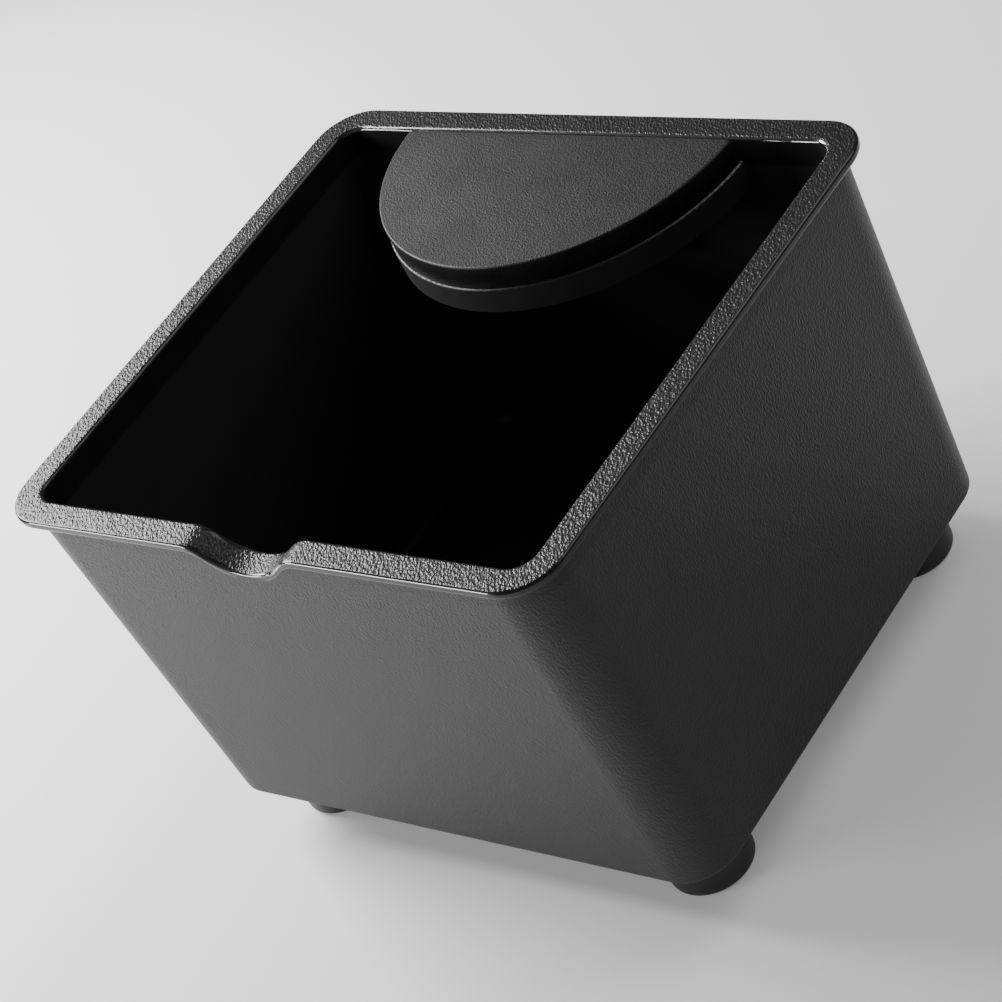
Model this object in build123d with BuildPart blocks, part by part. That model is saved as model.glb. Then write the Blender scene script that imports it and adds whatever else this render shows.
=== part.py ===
from build123d import *
from math import atan, cos, sin, sqrt
import os

# Espresso knock box: a tapered moulded bin with a flanged rim, a half-round
# knock block that lifts off a rail on the rear wall, and four screwed rubber feet.
# Frame: +X to the right, +Y to the rear, +Z up, origin under the middle of the bin
# on the plane that the feet stand on. Millimetres.

# ---- driving dimensions ----
foot_height = 15.0
body_height = 98.5                      # underside of the bin to the top of the rim
rim_top = foot_height + body_height
rim_width = 160.4                       # along X
rim_depth = 144.9                       # along Y
rim_corner = 12.0
rim_thickness = 2.2
lip_top_round = 0.8                     # outer border of the rim, above and below
lip_bottom_round = 0.8

opening_width = 146.0                   # cavity at the top of the rim
opening_depth = 130.4
opening_corner = 5.6
opening_edge_round = 1.1

top_width = 154.8                       # outside of the walls under the rim
top_depth = 139.3
top_corner = 12.0
base_width = 149.0                      # outside of the walls at the underside
base_depth = 131.2
base_corner = 11.6
base_edge_round = 0.8

wall = 3.4
floor_thickness = 3.4
cavity_corner = 5.0                     # at the floor
cavity_floor_round = 3.0

notch_x = -3.0                          # the notch lies a little left of the middle
notch_depth = 6.4                       # dip in the front rim for the portafilter's neck
notch_half_width = 17.2
notch_radius = 18.0                     # of the cradle itself

block_rise = 2.5                        # top of the knock pad above the rim
block_centre_y = 64.0
block_flat_y = 62.2                     # rear face of the block
pad_radius = 48.2
pad_thickness = 6.2
pad_edge_round = 0.7
carrier_radius = 48.7
carrier_thickness = 6.6
carrier_edge_round = 0.4
carrier_wall = 2.4
carrier_skin = 2.2
carrier_rib = 2.0

stud_radius = 3.0                       # moulded under the pad, pressed into the carrier
stud_clearance = 0.05
stud_boss_radius = 5.5
stud_length = 5.8
stud_places = [(-27.0, 46.0), (0.0, 30.0), (27.0, 46.0)]

rail_height = 21.0                      # T-shaped rail on the rear wall
rail_head_width = 18.0
rail_head_thickness = 3.0
rail_head_y = 57.0                      # middle of the head
rail_web_width = 8.0
rail_root_y = 66.2                      # the web ends inside the wall
slide_clearance = 0.3
hanger_width = 30.0                     # runs down over the rail
hanger_front_y = 52.4
hanger_height = 18.5

foot_x = 56.5
foot_front_y = -48.0
foot_rear_y = 49.6
foot_radius = 10.4
foot_edge_round = 1.0
foot_bore_radius = 5.0                  # access for the screw's head, from below
boss_radius = 6.0
boss_height = 8.0
boss_fit = 0.05                         # radial clearance of the foot on its boss
washer_radius = 7.2
washer_hole_radius = 2.3
washer_thickness = 1.2
screw_radius = 1.95
screw_pilot_radius = 1.7
screw_length = 9.6
screw_tip = 1.2
screw_head_radius = 3.9
screw_head_height = 2.6
screw_recess_width = 1.1                # cross recess
screw_recess_span = 4.2
screw_recess_depth = 1.5

foot_places = {
    "front_left": (-foot_x, foot_front_y),
    "front_right": (foot_x, foot_front_y),
    "rear_left": (-foot_x, foot_rear_y),
    "rear_right": (foot_x, foot_rear_y),
}

# ---- derived heights ----
body_z = foot_height
wall_top = rim_top - rim_thickness / 2  # the walls run half-way into the rim
cavity_z = body_z + floor_thickness
pad_top = rim_top + block_rise
pad_z = pad_top - pad_thickness
carrier_z = pad_z - carrier_thickness
boss_z = body_z - boss_height
washer_z = boss_z - washer_thickness
above = 20.0                            # how far cutting shapes run past the rim

# the notch is a cradle arc with a smaller tangent arc at each shoulder
flank_angle = 2 * atan(notch_depth / notch_half_width)
shoulder_radius = notch_half_width / sin(flank_angle) - notch_radius
flank_x = notch_radius * sin(flank_angle)


def notch_z(x):
    """Height of the rim's top surface at the front, x from the middle."""
    away = abs(x - notch_x)
    if away >= notch_half_width:
        return rim_top
    if away >= flank_x:
        reach = notch_half_width - away
        return rim_top - shoulder_radius + sqrt(shoulder_radius**2 - reach**2)
    return rim_top - notch_depth + notch_radius - sqrt(notch_radius**2 - away**2)


def notch_face(drop, level):
    """Face between the rim's top line, lowered by drop, and a level line."""
    edge = rim_top - drop
    low = edge - notch_depth
    flank_z = low + notch_radius * (1 - cos(flank_angle))
    knee_x = notch_half_width - shoulder_radius * sin(flank_angle / 2)
    knee_z = edge - shoulder_radius * (1 - cos(flank_angle / 2))
    with BuildSketch() as face:
        with BuildLine():
            for side in (-1, 1):
                shoulder = (notch_x + side * notch_half_width, edge)
                knee = (notch_x + side * knee_x, knee_z)
                flank = (notch_x + side * flank_x, flank_z)
                Line((side * rim_width, level), (side * rim_width, edge))
                Line((side * rim_width, edge), shoulder)
                ThreePointArc(shoulder, knee, flank)
            ThreePointArc((notch_x - flank_x, flank_z), (notch_x, low), (notch_x + flank_x, flank_z))
            Line((-rim_width, level), (rim_width, level))
        make_face()
    return face.sketch


def half_round(radius, inset=0.0):
    """Half-round outline of the knock block, made smaller all round by inset."""
    with BuildSketch() as face:
        with Locations((0, block_centre_y)):
            Circle(radius - inset)
        with Locations((0, block_flat_y - inset)):
            Rectangle(3 * radius, 3 * radius, align=(Align.CENTER, Align.MIN), mode=Mode.SUBTRACT)
    return face.sketch


def on_outline(edge):
    """True where an edge's middle lies on the rim's outer border, not on its opening."""
    middle = edge.center()
    margin = (rim_width - opening_width) / 2 - 1
    return abs(middle.X) > rim_width / 2 - margin or abs(middle.Y) > rim_depth / 2 - margin


def on_opening(edge):
    """True where an edge's middle lies on the border of the rim's opening."""
    middle = edge.center()
    on_side = abs(abs(middle.X) - opening_width / 2) < opening_corner / 2
    on_end = abs(abs(middle.Y) - opening_depth / 2) < opening_corner / 2
    return on_side or on_end


def on_rim(edge, drop=0.0):
    """True where an edge's middle lies on the rim's top surface, or that far below it."""
    middle = edge.center()
    surface = notch_z(middle.X) if middle.Y < 0 else rim_top
    return abs(middle.Z - surface + drop) < 0.2


os.makedirs("parts", exist_ok=True)

# ---- rim: a flat flange that dips through the notch at the front ----
rim_blank_z = rim_top - rim_thickness - notch_depth - 1
with BuildPart() as rim:
    with BuildSketch(Plane.XY.offset(rim_blank_z)):
        RectangleRounded(rim_width, rim_depth, rim_corner)
    extrude(amount=rim_top - rim_blank_z)
    with BuildSketch(Plane.XZ):
        add(notch_face(0, rim_top + above))
        add(notch_face(rim_thickness, rim_blank_z - above))
    extrude(amount=rim_depth, mode=Mode.SUBTRACT)
    with BuildSketch(Plane.XY.offset(rim_top - rim_thickness)):
        Rectangle(2 * rim_width, rim_depth, align=(Align.CENTER, Align.MIN))
    extrude(amount=-above, mode=Mode.SUBTRACT)
    fillet(rim.edges().filter_by(lambda e: on_rim(e) and on_outline(e)), lip_top_round)
    fillet(rim.edges().filter_by(lambda e: on_rim(e, rim_thickness) and on_outline(e)), lip_bottom_round)

# ---- bin: tapered walls, floor, notch, rail and foot bosses ----
with BuildPart() as bin_body:
    with BuildSketch(Plane.XY.offset(body_z)):
        RectangleRounded(base_width, base_depth, base_corner)
    with BuildSketch(Plane.XY.offset(wall_top)):
        RectangleRounded(top_width, top_depth, top_corner)
    loft()
    fillet(bin_body.faces().sort_by(Axis.Z)[0].edges(), base_edge_round)
    with BuildSketch(Plane.XZ):
        add(notch_face(rim_thickness / 2, rim_top + above))
    extrude(amount=rim_depth, mode=Mode.SUBTRACT)
    add(rim.part)

    # cavity, drafted like the walls and run on above the rim
    draft_x = (opening_width - base_width + 2 * wall) / (rim_top - cavity_z)
    draft_y = (opening_depth - base_depth + 2 * wall) / (rim_top - cavity_z)
    with BuildSketch(Plane.XY.offset(cavity_z)):
        RectangleRounded(base_width - 2 * wall, base_depth - 2 * wall, cavity_corner)
    with BuildSketch(Plane.XY.offset(rim_top + above)):
        RectangleRounded(opening_width + above * draft_x, opening_depth + above * draft_y, opening_corner)
    loft(mode=Mode.SUBTRACT)
    fillet(bin_body.edges().filter_by(lambda e: abs(e.center().Z - cavity_z) < 0.01), cavity_floor_round)
    fillet(bin_body.edges().filter_by(lambda e: on_rim(e) and on_opening(e)), opening_edge_round)

    # T-shaped rail for the knock block
    with BuildSketch(Plane.XY.offset(carrier_z)):
        with Locations((0, rail_head_y)):
            Rectangle(rail_head_width, rail_head_thickness)
            Rectangle(rail_web_width, rail_root_y - rail_head_y, align=(Align.CENTER, Align.MIN))
    extrude(amount=-rail_height)

    # foot bosses with blind screw holes
    with BuildSketch(Plane.XY.offset(boss_z)):
        with Locations(*foot_places.values()):
            Circle(boss_radius)
    extrude(amount=boss_height)
    with BuildSketch(Plane.XY.offset(boss_z)):
        with Locations(*foot_places.values()):
            Circle(screw_pilot_radius)
    extrude(amount=screw_length, mode=Mode.SUBTRACT)

# ---- carrier: rigid lower half of the knock block, cored from below ----
hanger_depth = block_flat_y - hanger_front_y
slot_head_width = rail_head_width + 2 * slide_clearance
slot_head_depth = rail_head_thickness + 2 * slide_clearance
slot_web_width = rail_web_width + 2 * slide_clearance

with BuildPart() as block_carrier:
    with BuildSketch(Plane.XY.offset(carrier_z)):
        add(half_round(carrier_radius))
    extrude(amount=carrier_thickness)
    fillet(block_carrier.faces().sort_by(Axis.Z)[-1].edges(), carrier_edge_round)

    # hollow underside with ribs, stud bosses and the root of the hanger left in
    with BuildSketch(Plane.XY.offset(carrier_z)):
        add(half_round(carrier_radius, carrier_wall))
        with Locations((0, block_flat_y)):
            Rectangle(hanger_width, hanger_depth, align=(Align.CENTER, Align.MAX), mode=Mode.SUBTRACT)
        with Locations(*stud_places):
            Circle(stud_boss_radius, mode=Mode.SUBTRACT)
        with Locations(*[(x, block_centre_y) for x, y in stud_places]):
            Rectangle(carrier_rib, 2 * carrier_radius, mode=Mode.SUBTRACT)
        with Locations((0, stud_places[0][1])):
            Rectangle(2 * carrier_radius, carrier_rib, mode=Mode.SUBTRACT)
    extrude(amount=carrier_thickness - carrier_skin, mode=Mode.SUBTRACT)
    with BuildSketch(Plane.XY.offset(carrier_z)):
        with Locations(*stud_places):
            Circle(stud_radius)
    extrude(amount=carrier_thickness, mode=Mode.SUBTRACT)

    # hanger with the T-shaped slot that slides down over the rail
    with BuildSketch(Plane.XY.offset(carrier_z)):
        with Locations((0, block_flat_y)):
            Rectangle(hanger_width, hanger_depth, align=(Align.CENTER, Align.MAX))
        with Locations((0, rail_head_y)):
            Rectangle(slot_head_width, slot_head_depth, mode=Mode.SUBTRACT)
            Rectangle(slot_web_width, above, align=(Align.CENTER, Align.MIN), mode=Mode.SUBTRACT)
    extrude(amount=-hanger_height)

# ---- pad: soft upper half of the knock block, with studs pressed into the carrier ----
with BuildPart() as knock_pad:
    with BuildSketch(Plane.XY.offset(pad_z)):
        add(half_round(pad_radius))
    extrude(amount=pad_thickness)
    fillet(knock_pad.faces().sort_by(Axis.Z)[-1].edges(), pad_edge_round)
    with BuildSketch(Plane.XY.offset(pad_z)):
        with Locations(*stud_places):
            Circle(stud_radius - stud_clearance)
    extrude(amount=-stud_length)

# ---- feet: rubber foot on a boss, a washer bedded in it and a screw from below ----
pieces = {"bin_body": bin_body, "block_carrier": block_carrier, "knock_pad": knock_pad}
for place, (x, y) in foot_places.items():
    with BuildPart() as foot:
        with BuildSketch():
            with Locations((x, y)):
                Circle(foot_radius)
                Circle(foot_bore_radius, mode=Mode.SUBTRACT)
        extrude(amount=foot_height)
        with BuildSketch(Plane.XY.offset(washer_z)):
            with Locations((x, y)):
                Circle(washer_radius)
        extrude(amount=washer_thickness, mode=Mode.SUBTRACT)
        with BuildSketch(Plane.XY.offset(boss_z)):
            with Locations((x, y)):
                Circle(boss_radius + boss_fit)
        extrude(amount=boss_height, mode=Mode.SUBTRACT)
        fillet(foot.faces().sort_by(Axis.Z)[0].edges().sort_by(SortBy.RADIUS)[-1], foot_edge_round)
    pieces["foot_" + place] = foot

    with BuildPart() as washer:
        with BuildSketch(Plane.XY.offset(washer_z)):
            with Locations((x, y)):
                Circle(washer_radius)
                Circle(washer_hole_radius, mode=Mode.SUBTRACT)
        extrude(amount=washer_thickness)
    pieces["foot_washer_" + place] = washer

    with BuildPart() as screw:
        with BuildSketch(Plane.XY.offset(washer_z)):
            with Locations((x, y)):
                Circle(screw_head_radius)
        extrude(amount=-screw_head_height)
        fillet(screw.faces().sort_by(Axis.Z)[0].edges(), screw_head_height / 2)
        with BuildSketch(Plane.XY.offset(washer_z)):
            with Locations((x, y)):
                Circle(screw_radius)
        extrude(amount=screw_length)
        chamfer(screw.faces().sort_by(Axis.Z)[-1].edges(), screw_tip)
        with BuildSketch(Plane.XY.offset(washer_z - screw_head_height)):
            with Locations((x, y)):
                Rectangle(screw_recess_span, screw_recess_width)
                Rectangle(screw_recess_width, screw_recess_span)
        extrude(amount=screw_recess_depth, mode=Mode.SUBTRACT)
    pieces["foot_screw_" + place] = screw

for name, piece in pieces.items():
    piece.part.label = name
    export_step(piece.part, f"parts/{name}.step")
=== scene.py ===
"""Espresso knock box: looks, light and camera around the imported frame."""
import math

import bmesh
import bpy
from mathutils import Matrix, Vector


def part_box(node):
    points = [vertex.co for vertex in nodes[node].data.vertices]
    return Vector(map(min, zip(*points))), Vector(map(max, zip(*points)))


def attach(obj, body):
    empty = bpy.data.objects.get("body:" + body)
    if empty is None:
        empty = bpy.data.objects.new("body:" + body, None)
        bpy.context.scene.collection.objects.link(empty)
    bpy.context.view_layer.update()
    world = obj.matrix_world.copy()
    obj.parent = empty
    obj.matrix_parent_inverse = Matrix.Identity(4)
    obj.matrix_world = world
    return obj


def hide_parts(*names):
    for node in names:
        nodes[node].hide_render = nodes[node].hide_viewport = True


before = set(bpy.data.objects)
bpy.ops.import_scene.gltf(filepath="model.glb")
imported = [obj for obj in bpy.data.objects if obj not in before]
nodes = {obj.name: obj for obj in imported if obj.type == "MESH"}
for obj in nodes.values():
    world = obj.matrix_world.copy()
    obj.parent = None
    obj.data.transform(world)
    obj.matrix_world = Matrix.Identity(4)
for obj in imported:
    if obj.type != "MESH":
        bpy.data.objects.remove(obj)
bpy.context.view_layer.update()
MM = 0.001
CORNERS = ("front_left", "front_right", "rear_left", "rear_right")

# ---- places and sizes in millimetres, from the frame or the same as in the CAD model ----
BIN_LOW, BIN_HIGH = (Vector(corner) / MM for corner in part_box("bin_body"))
PAD_HIGH = Vector(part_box("knock_pad")[1]) / MM
CARRIER_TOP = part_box("block_carrier")[1][2] / MM
RIM_TOP = BIN_HIGH.z
RIM_CORNER = 12.0                 # radius of the rim's corners
LIP_BAND = 1.2                    # smooth band along the rim's outer border
FRONT_BAND = 6.2                  # from the front border to the rounding of the opening
NOTCH_DEPTH = 6.4                 # dip of the rim at the portafilter notch
NOTCH_X, NOTCH_HALF_WIDTH = -3.0, 17.2
NOTCH_FLOOR = RIM_TOP - NOTCH_DEPTH
FOOT_BORE, FOOT_BOSS = 5.0, 6.05  # radii inside a foot: for the screw's head, and round the bin's boss

# ---- camera: seen from above the front right corner, rolled over to the left ----
AZIMUTH, ELEVATION, ROLL = 52.94, 35.14, -30.0    # degrees
DISTANCE, LENS = 0.7359, 114.57                   # metres, millimetres
AIM = Vector((-4.37, -3.06, 60.59)) * MM


def direction(azimuth, elevation):
    """The way from the object towards that azimuth (0 in front, 90 to the right) and elevation."""
    a, e = math.radians(azimuth), math.radians(elevation)
    return Vector((math.sin(a) * math.cos(e), -math.cos(a) * math.cos(e), math.sin(e)))


def make_camera():
    back = direction(AZIMUTH, ELEVATION)
    a = math.radians(AZIMUTH)
    right = Matrix.Rotation(math.radians(ROLL), 3, back) @ Vector((math.cos(a), math.sin(a), 0))
    up = back.cross(right)
    cam = bpy.data.objects.new("camera", bpy.data.cameras.new("camera"))
    cam.data.lens = LENS
    cam.data.clip_start, cam.data.clip_end = 0.05, 20
    turn = Matrix((right, up, back)).transposed().to_4x4()
    cam.matrix_world = Matrix.Translation(AIM + back * DISTANCE) @ turn
    bpy.context.scene.collection.objects.link(cam)
    bpy.context.scene.camera = cam


# ---- light ----
def soft_box(name, azimuth, elevation, distance, size, power, aside=0.0):
    """A soft box aimed back along its direction, moved aside to the right as seen from the box."""
    way = direction(azimuth, elevation)
    right = Vector((-way.y, way.x, 0)).normalized()
    lamp = bpy.data.objects.new(name, bpy.data.lights.new(name, "AREA"))
    lamp.data.shape = "RECTANGLE"
    lamp.data.size, lamp.data.size_y = size
    lamp.data.energy = power
    lamp.location = Vector((0, 0, 0.1)) + way * distance + right * aside
    lamp.rotation_mode = "QUATERNION"
    lamp.rotation_quaternion = way.to_track_quat("Z", "Y")
    bpy.context.scene.collection.objects.link(lamp)


def make_light():
    soft_box("key_rear_left", 233, 35, 0.55, (0.42, 0.34), 12.0, aside=0.37)
    soft_box("low_front_left", -45, 11, 1.3, (0.6, 0.34), 7.5)
    soft_box("fill_left", -110, 34, 1.5, (0.9, 0.6), 3.0)
    soft_box("fill_right", 148, 46, 1.5, (1.0, 0.8), 6.8)
    world = bpy.data.worlds.new("studio")
    world.use_nodes = True
    background = world.node_tree.nodes["Background"]
    background.inputs["Color"].default_value = (1, 1, 1, 1)
    background.inputs["Strength"].default_value = 0.14
    bpy.context.scene.world = world


# ---- shader helpers ----
def new_material(name, colour, roughness):
    material = bpy.data.materials.new(name)
    material.use_nodes = True
    shader = material.node_tree.nodes["Principled BSDF"]
    shader.inputs["Base Color"].default_value = (*colour, 1)
    shader.inputs["Roughness"].default_value = roughness
    return material, material.node_tree, shader


def add(tree, kind, inputs=None, **settings):
    """Add a node; an input is a plain value, or an output socket to link from."""
    node = tree.nodes.new(kind)
    for key, value in settings.items():
        setattr(node, key, value)
    for key, value in (inputs or {}).items():
        if isinstance(value, bpy.types.NodeSocket):
            tree.links.new(value, node.inputs[key])
        else:
            node.inputs[key].default_value = value
    return node


def calc(tree, operation, *values):
    return add(tree, "ShaderNodeMath", dict(enumerate(values)), operation=operation).outputs[0]


def product(tree, *values):
    result = values[0]
    for value in values[1:]:
        result = calc(tree, "MULTIPLY", result, value)
    return result


def total(tree, *values):
    result = values[0]
    for value in values[1:]:
        result = calc(tree, "ADD", result, value)
    return result


def rest_of(tree, mask):
    """The opposite of a mask: 1 where it is 0."""
    return calc(tree, "SUBTRACT", 1.0, mask)


def past(tree, value, limit):
    """How far a value lies past the limit on either side of 0."""
    return calc(tree, "MAXIMUM", calc(tree, "SUBTRACT", calc(tree, "ABSOLUTE", value), limit), 0)


def ramp(tree, value, low, high, to_low=0.0, to_high=1.0):
    """Smooth step from to_low at low to to_high at high."""
    inputs = {"Value": value, "From Min": low, "From Max": high, "To Min": to_low, "To Max": to_high}
    return add(tree, "ShaderNodeMapRange", inputs, interpolation_type="SMOOTHSTEP").outputs[0]


def place_mm(tree):
    """Object coordinates in millimetres."""
    where = add(tree, "ShaderNodeTexCoord").outputs["Object"]
    return add(tree, "ShaderNodeVectorMath", {0: where, "Scale": 1 / MM}, operation="SCALE").outputs[0]


def noise(tree, where, cell, detail=2.0, roughness=0.5):
    """Noise around 0.5 whose lumps have that size in millimetres along each axis."""
    cells = tuple(1 / c for c in cell) if isinstance(cell, tuple) else (1 / cell,) * 3
    scaled = add(tree, "ShaderNodeVectorMath", {0: where, 1: cells}, operation="MULTIPLY").outputs[0]
    inputs = {"Vector": scaled, "Scale": 1.0, "Detail": detail, "Roughness": roughness}
    return add(tree, "ShaderNodeTexNoise", inputs).outputs[0]


def pebbles(tree, where, width, length, heading):
    """Uneven pebbles of that size in millimetres, longer along a heading in degrees from +X.

    The result is 1 at a pebble's top and 0 in the valleys.
    """
    turn = {"Vector": where, "Angle": math.radians(-heading)}
    turned = add(tree, "ShaderNodeVectorRotate", turn).outputs[0]
    cells = add(tree, "ShaderNodeVectorMath", {0: turned, 1: (1 / length, 1 / width, 1 / width)},
                operation="MULTIPLY").outputs[0]
    warp = add(tree, "ShaderNodeTexNoise", {"Vector": cells, "Scale": 0.8, "Detail": 1.0}).outputs[1]
    push = add(tree, "ShaderNodeVectorMath", {0: warp, "Scale": 0.9}, operation="SCALE").outputs[0]
    moved = add(tree, "ShaderNodeVectorMath", {0: cells, 1: push}, operation="ADD").outputs[0]
    inputs = {"Vector": moved, "Scale": 1.0}
    distance = add(tree, "ShaderNodeTexVoronoi", inputs).outputs["Distance"]
    return ramp(tree, distance, 0.05, 0.8, 1.0, 0.0)


def bump(tree, height_mm, shader):
    """Bump by a height in millimetres."""
    inputs = {"Height": height_mm, "Distance": MM, "Strength": 1.0}
    tree.links.new(add(tree, "ShaderNodeBump", inputs).outputs[0], shader.inputs["Normal"])


def shaded(tree, shader, value, low, high):
    """Base colour that runs from grey low to grey high as the value runs from 0 to 1."""
    mix = add(tree, "ShaderNodeMix", {0: value, 6: (*low, 1), 7: (*high, 1)}, data_type="RGBA")
    tree.links.new(mix.outputs[2], shader.inputs["Base Color"])


# ---- materials ----
def bin_zones(tree, where):
    """Masks of the bin: grained top of the rim, smooth edges, polished lip, outer walls and inside, the
    last used only for painted fill light.
    """
    x, y, z = add(tree, "ShaderNodeSeparateXYZ", {0: where}).outputs
    normal = add(tree, "ShaderNodeNewGeometry").outputs["Normal"]
    nx, ny, nz = add(tree, "ShaderNodeSeparateXYZ", {0: normal}).outputs

    # how far out from the rim's corner centres a point lies: RIM_CORNER on the rim's border
    side_x = past(tree, x, BIN_HIGH.x - RIM_CORNER)
    side_y = past(tree, y, BIN_HIGH.y - RIM_CORNER)
    reach = calc(tree, "SQRT", total(tree, calc(tree, "POWER", side_x, 2), calc(tree, "POWER", side_y, 2)))
    outward = total(tree, product(tree, x, nx), product(tree, y, ny))
    high = ramp(tree, z, NOTCH_FLOOR - 1.5, NOTCH_FLOOR - 0.5)
    behind_notch = ramp(tree, y, BIN_LOW.y + FRONT_BAND - 0.6, BIN_LOW.y + FRONT_BAND)
    lip_start, lip_full = RIM_CORNER - LIP_BAND, RIM_CORNER - LIP_BAND + 0.3

    # the grain runs down through the notch, short of its two rounded borders
    away = calc(tree, "ABSOLUTE", calc(tree, "SUBTRACT", x, NOTCH_X))
    in_notch = product(tree, ramp(tree, away, NOTCH_HALF_WIDTH + 1, NOTCH_HALF_WIDTH),
                       ramp(tree, nz, 0.66, 0.72), rest_of(tree, behind_notch),
                       ramp(tree, reach, lip_full, lip_start))
    level = ramp(tree, nz, 0.92, 0.97)
    on_top = product(tree, calc(tree, "MAXIMUM", level, in_notch), high)

    on_opening = product(tree, ramp(tree, nz, 0.05, 0.15), behind_notch)
    on_lip = calc(tree, "MAXIMUM", ramp(tree, reach, lip_start, lip_full), on_opening)
    on_edge = product(tree, on_lip, high, rest_of(tree, on_top))
    on_wall = product(tree, ramp(tree, outward, 5, 20), rest_of(tree, on_edge), rest_of(tree, on_top))
    # inside: below the rim and not on an outer wall; it only lifts the base colour there, as painted fill
    # light
    inside = calc(tree, "SUBTRACT", rest_of(tree, on_wall), high)

    # polished where they face the front: the lip's upper rounding, short of the front corners,
    # and the rounding of the opening at the rear
    straight = calc(tree, "MAXIMUM", ramp(tree, side_x, 3.0, 0.5), ramp(tree, y, -1, 1))
    polished = product(tree, on_edge, ramp(tree, ny, -0.3, -0.7), ramp(tree, nz, 0.25, 0.4), straight)
    return on_top, on_edge, polished, on_wall, inside


def bin_plastic():
    """Black moulded plastic: pebbled rim, bright smooth lip, finely grained walls, satin inside, whose
    base colour is painted lighter (also underneath) as painted fill light.
    """
    material, tree, shader = new_material("bin_plastic", (0.03, 0.03, 0.031), 0.4)
    shader.inputs["Specular IOR Level"].default_value = 0.32
    shader.inputs["Coat Roughness"].default_value = 0.1
    shader.inputs["Coat IOR"].default_value = 2.0
    where = place_mm(tree)
    on_top, on_edge, polished, on_wall, inside = bin_zones(tree, where)
    tree.links.new(polished, shader.inputs["Coat Weight"])

    fine = noise(tree, where, 0.4, 1.0)
    pebbled = pebbles(tree, where, 0.62, 1.15, 125)
    drawn = noise(tree, where, (0.42, 0.42, 0.8), 1.0)
    rim_grain = total(tree, product(tree, pebbled, 0.105), product(tree, fine, 0.10))
    wall_grain = total(tree, product(tree, drawn, 0.24), product(tree, fine, 0.06))
    bump(tree, total(tree, product(tree, rim_grain, on_top), product(tree, wall_grain, on_wall),
                     product(tree, fine, 0.004)), shader)

    cloud = noise(tree, where, 14.0, 3.0)
    rough = total(tree, 0.30, product(tree, on_wall, 0.14), product(tree, on_edge, -0.16),
                  calc(tree, "MULTIPLY_ADD", cloud, 0.03, 0.015))
    tree.links.new(rough, shader.inputs["Roughness"])
    # painted fill light: base colour lifted inside the bin and underneath, where the plastic lies in
    # shade, over a random tone
    tone_and_painted_fill = total(tree, product(tree, inside, 0.75), product(tree, cloud, 0.5))
    shaded(tree, shader, tone_and_painted_fill, (0.008, 0.008, 0.0085), (0.030, 0.030, 0.031))
    return material


def carrier_plastic():
    """Plain satin black plastic with a faint moulding texture."""
    material, tree, shader = new_material("carrier_plastic", (0.025, 0.025, 0.026), 0.4)
    where = place_mm(tree)
    bump(tree, product(tree, noise(tree, where, 0.5), 0.008), shader)
    tree.links.new(ramp(tree, noise(tree, where, 9.0), 0.2, 0.8, 0.36, 0.46), shader.inputs["Roughness"])
    shaded(tree, shader, noise(tree, where, 14.0, 3.0), (0.020, 0.020, 0.0205), (0.030, 0.030, 0.0305))
    return material


def pad_rubber():
    """Soft black rubber: a fine sanded grain on top, polished a little where a portafilter lands."""
    material, tree, shader = new_material("pad_rubber", (0.03, 0.03, 0.031), 0.55)
    shader.inputs["Specular IOR Level"].default_value = 0.35
    where = place_mm(tree)
    normal = add(tree, "ShaderNodeNewGeometry").outputs["Normal"]
    nz = add(tree, "ShaderNodeSeparateXYZ", {0: normal}).outputs[2]
    on_top = ramp(tree, nz, 0.8, 0.97)
    depth = ramp(tree, nz, 0.8, 0.97, 0.15, 1.0)
    bump(tree, product(tree, noise(tree, where, 0.44, 1.0, 0.6), 0.24, depth), shader)
    worn = ramp(tree, noise(tree, where, 24.0, 3.0), 0.45, 0.65)
    rough = total(tree, 0.45, product(tree, on_top, calc(tree, "MULTIPLY_ADD", worn, -0.05, 0.25)))
    tree.links.new(rough, shader.inputs["Roughness"])
    patches, specks = noise(tree, where, 7.0, 3.0), noise(tree, where, 0.7, 1.0)
    cloud = total(tree, product(tree, patches, 0.5), product(tree, specks, 0.5))
    shaded(tree, shader, ramp(tree, cloud, 0.3, 0.7), (0.005, 0.005, 0.0052), (0.016, 0.016, 0.0165))
    return material


def foot_rubber():
    """Matte black rubber with faint dust towards the bottom edge."""
    material, tree, shader = new_material("foot_rubber", (0.015, 0.015, 0.016), 0.6)
    where = place_mm(tree)
    z = add(tree, "ShaderNodeSeparateXYZ", {0: where}).outputs[2]
    bump(tree, product(tree, noise(tree, where, 0.6), 0.012), shader)
    dust = product(tree, ramp(tree, z, 3.0, 0.0), ramp(tree, noise(tree, where, 2.5, 4.0), 0.4, 0.7))
    tree.links.new(ramp(tree, dust, 0.0, 1.0, 0.50, 0.75), shader.inputs["Roughness"])
    shaded(tree, shader, dust, (0.010, 0.010, 0.0105), (0.045, 0.044, 0.042))
    return material


def fastener_steel():
    """Bright zinc-plated steel, a little mottled, with turning marks."""
    material, tree, shader = new_material("fastener_steel", (0.6, 0.6, 0.6), 0.3)
    shader.inputs["Metallic"].default_value = 1.0
    where = place_mm(tree)
    bump(tree, product(tree, noise(tree, where, (0.25, 0.25, 2.0)), 0.006), shader)
    mottle = noise(tree, where, 1.6, 4.0)
    tree.links.new(ramp(tree, mottle, 0.3, 0.7, 0.24, 0.42), shader.inputs["Roughness"])
    shaded(tree, shader, mottle, (0.50, 0.50, 0.49), (0.66, 0.67, 0.69))
    return material


def dress(name, material):
    nodes[name].data.materials.clear()
    nodes[name].data.materials.append(material)


# ---- meshes ----
def new_piece(name, mesh, material, body, node):
    for face in mesh.faces:
        face.smooth = True
    bmesh.ops.recalc_face_normals(mesh, faces=mesh.faces)
    data = bpy.data.meshes.new(name)
    mesh.to_mesh(data)
    mesh.free()
    data.materials.append(material)
    piece = bpy.data.objects.new(name, data)
    bpy.context.scene.collection.objects.link(piece)
    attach(piece, body)
    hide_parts(node)
    return piece


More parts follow.
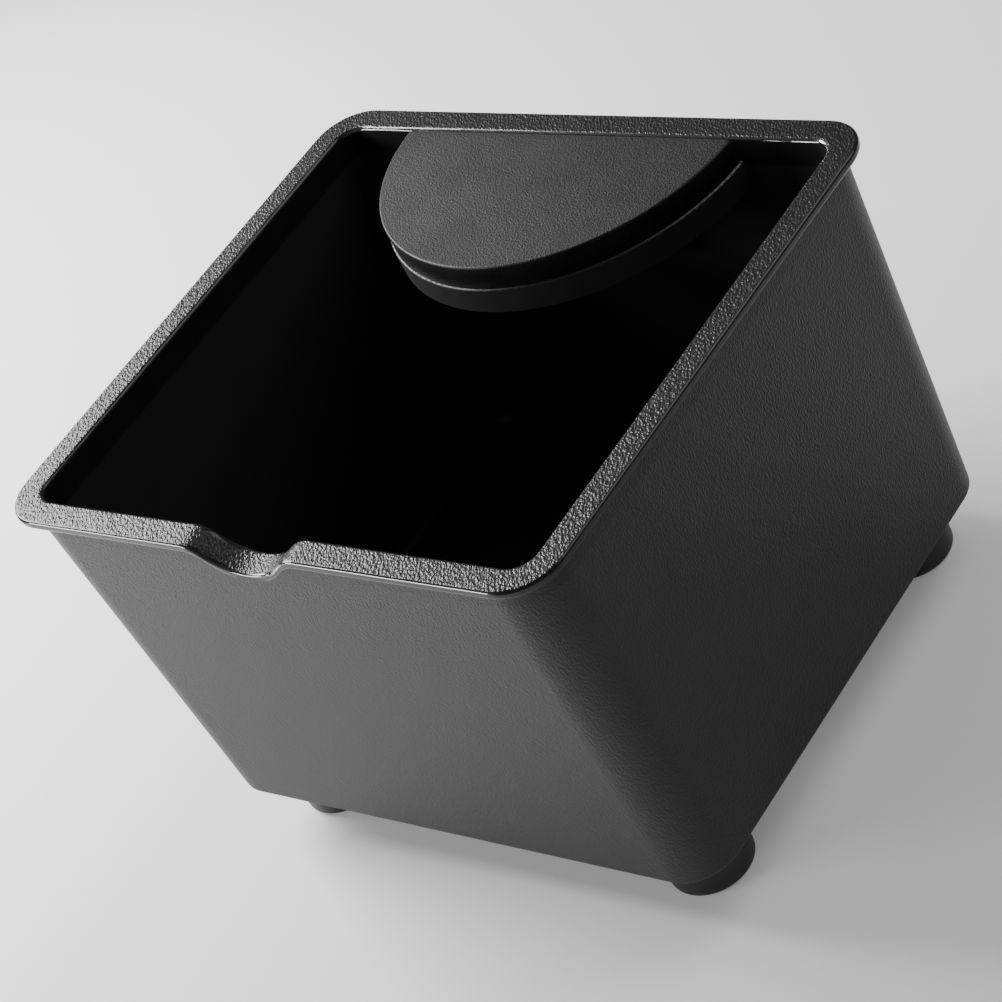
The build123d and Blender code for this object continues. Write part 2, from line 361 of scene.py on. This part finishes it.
def skin(mesh, rings, closed=False):
    """Quads between neighbouring rings of points; closed joins the last ring to the first."""
    made = [[mesh.verts.new(Vector(point) * MM) for point in ring] for ring in rings]
    pairs = list(zip(made, made[1:]))
    if closed:
        pairs.append((made[-1], made[0]))
    for low, high in pairs:
        for i in range(len(low)):
            j = (i + 1) % len(low)
            mesh.faces.new((low[i], low[j], high[j], high[i]))
    return made


def quarter(radius, steps):
    """(inset, drop) points of a quarter round, from the side up to the top."""
    turns = [math.pi / 2 * i / steps for i in range(steps + 1)]
    return [(radius * (1 - math.cos(t)), radius * (1 - math.sin(t))) for t in turns]


def arc(centre_x, centre_y, radius, start, stop, steps):
    """Points along an arc, without its last one."""
    turns = [start + (stop - start) * i / steps for i in range(steps)]
    return [(centre_x + radius * math.cos(t), centre_y + radius * math.sin(t)) for t in turns]


def half_round(radius, centre_y, flat_y, corner, inset):
    """Outline of the pad, rounded where the arc meets the flat, made smaller all round by inset."""
    tilt = math.asin((flat_y - corner - centre_y) / (radius - corner))
    end_x, end_y = (radius - corner) * math.cos(tilt), flat_y - corner
    front = arc(0, centre_y, radius - inset, math.pi - tilt, 2 * math.pi + tilt, 96)
    right = arc(end_x, end_y, corner - inset, tilt, math.pi / 2, 8)
    left = arc(-end_x, end_y, corner - inset, math.pi / 2, math.pi - tilt, 8)
    return front + right + [(end_x, flat_y - inset)] + left


def make_pad(material):
    """Rubber pad with a soft upper edge, in the place of the plain CAD pad."""
    radius, centre_y, corner = 48.2, 64.0, 1.2
    top_round, base_bevel = 0.6, 0.25
    flat_y = PAD_HIGH.y
    top, bottom = PAD_HIGH.z, CARRIER_TOP
    levels = [(base_bevel, bottom), (0.0, bottom + base_bevel)]
    levels += [(inset, top - drop) for inset, drop in quarter(top_round, 6)]
    mesh = bmesh.new()
    rings = []
    for inset, level in levels:
        outline = half_round(radius, centre_y, flat_y, corner, inset)
        rings.append([(px, py, level) for px, py in outline])
    made = skin(mesh, rings)
    mesh.faces.new(made[0])
    mesh.faces.new(made[-1])
    new_piece("knock_pad_skin", mesh, material, "knock_block", "knock_pad")


def make_foot(corner, material):
    """Turned rubber foot with a rounded tread, a fine mould line and a bore for the screw's head."""
    low, high = (Vector(c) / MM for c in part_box("foot_" + corner))
    washer_low, washer_high = (Vector(c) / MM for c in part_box("foot_washer_" + corner))
    middle = (low + high) / 2
    radius, tread_round = (high.x - low.x) / 2, 1.4
    washer_radius = (washer_high.x - washer_low.x) / 2
    draft, bore_bevel, top_bevel = 0.25, 0.4, 0.5
    line, line_half_width, line_depth = high.z * 0.55, 0.25, 0.12
    segments = 72
    profile = [(FOOT_BORE, washer_low.z), (FOOT_BORE, bore_bevel), (FOOT_BORE + bore_bevel, 0.0)]
    profile += [(radius - inset, drop) for inset, drop in reversed(quarter(tread_round, 6))]
    profile += [(radius, line - line_half_width), (radius - line_depth, line)]
    profile += [(radius, line + line_half_width), (radius - draft, high.z - top_bevel)]
    profile += [(radius - draft - top_bevel, high.z), (FOOT_BOSS, high.z)]
    profile += [(FOOT_BOSS, washer_high.z), (washer_radius, washer_high.z), (washer_radius, washer_low.z)]
    mesh = bmesh.new()
    turns = [2 * math.pi * i / segments for i in range(segments)]
    rings = [[(middle.x + r * math.cos(t), middle.y + r * math.sin(t), level) for t in turns]
             for r, level in profile]
    skin(mesh, rings, closed=True)
    name = "foot_" + corner
    foot = new_piece(name + "_rubber", mesh, material, "bin", name)
    foot.data.set_sharp_from_angle(angle=math.radians(50))


def make_floor():
    bpy.ops.mesh.primitive_plane_add(size=8)
    floor = bpy.context.object
    floor.name = "studio_floor"
    material, _, shader = new_material("floor", (0.92, 0.92, 0.92), 0.9)
    shader.inputs["Emission Color"].default_value = (1, 1, 1, 1)
    shader.inputs["Emission Strength"].default_value = 0.15
    floor.data.materials.append(material)


make_camera()
make_light()
make_floor()
dress("bin_body", bin_plastic())
dress("block_carrier", carrier_plastic())
make_pad(pad_rubber())
rubber, steel = foot_rubber(), fastener_steel()
for corner in CORNERS:
    make_foot(corner, rubber)
    dress("foot_washer_" + corner, steel)
    dress("foot_screw_" + corner, steel)
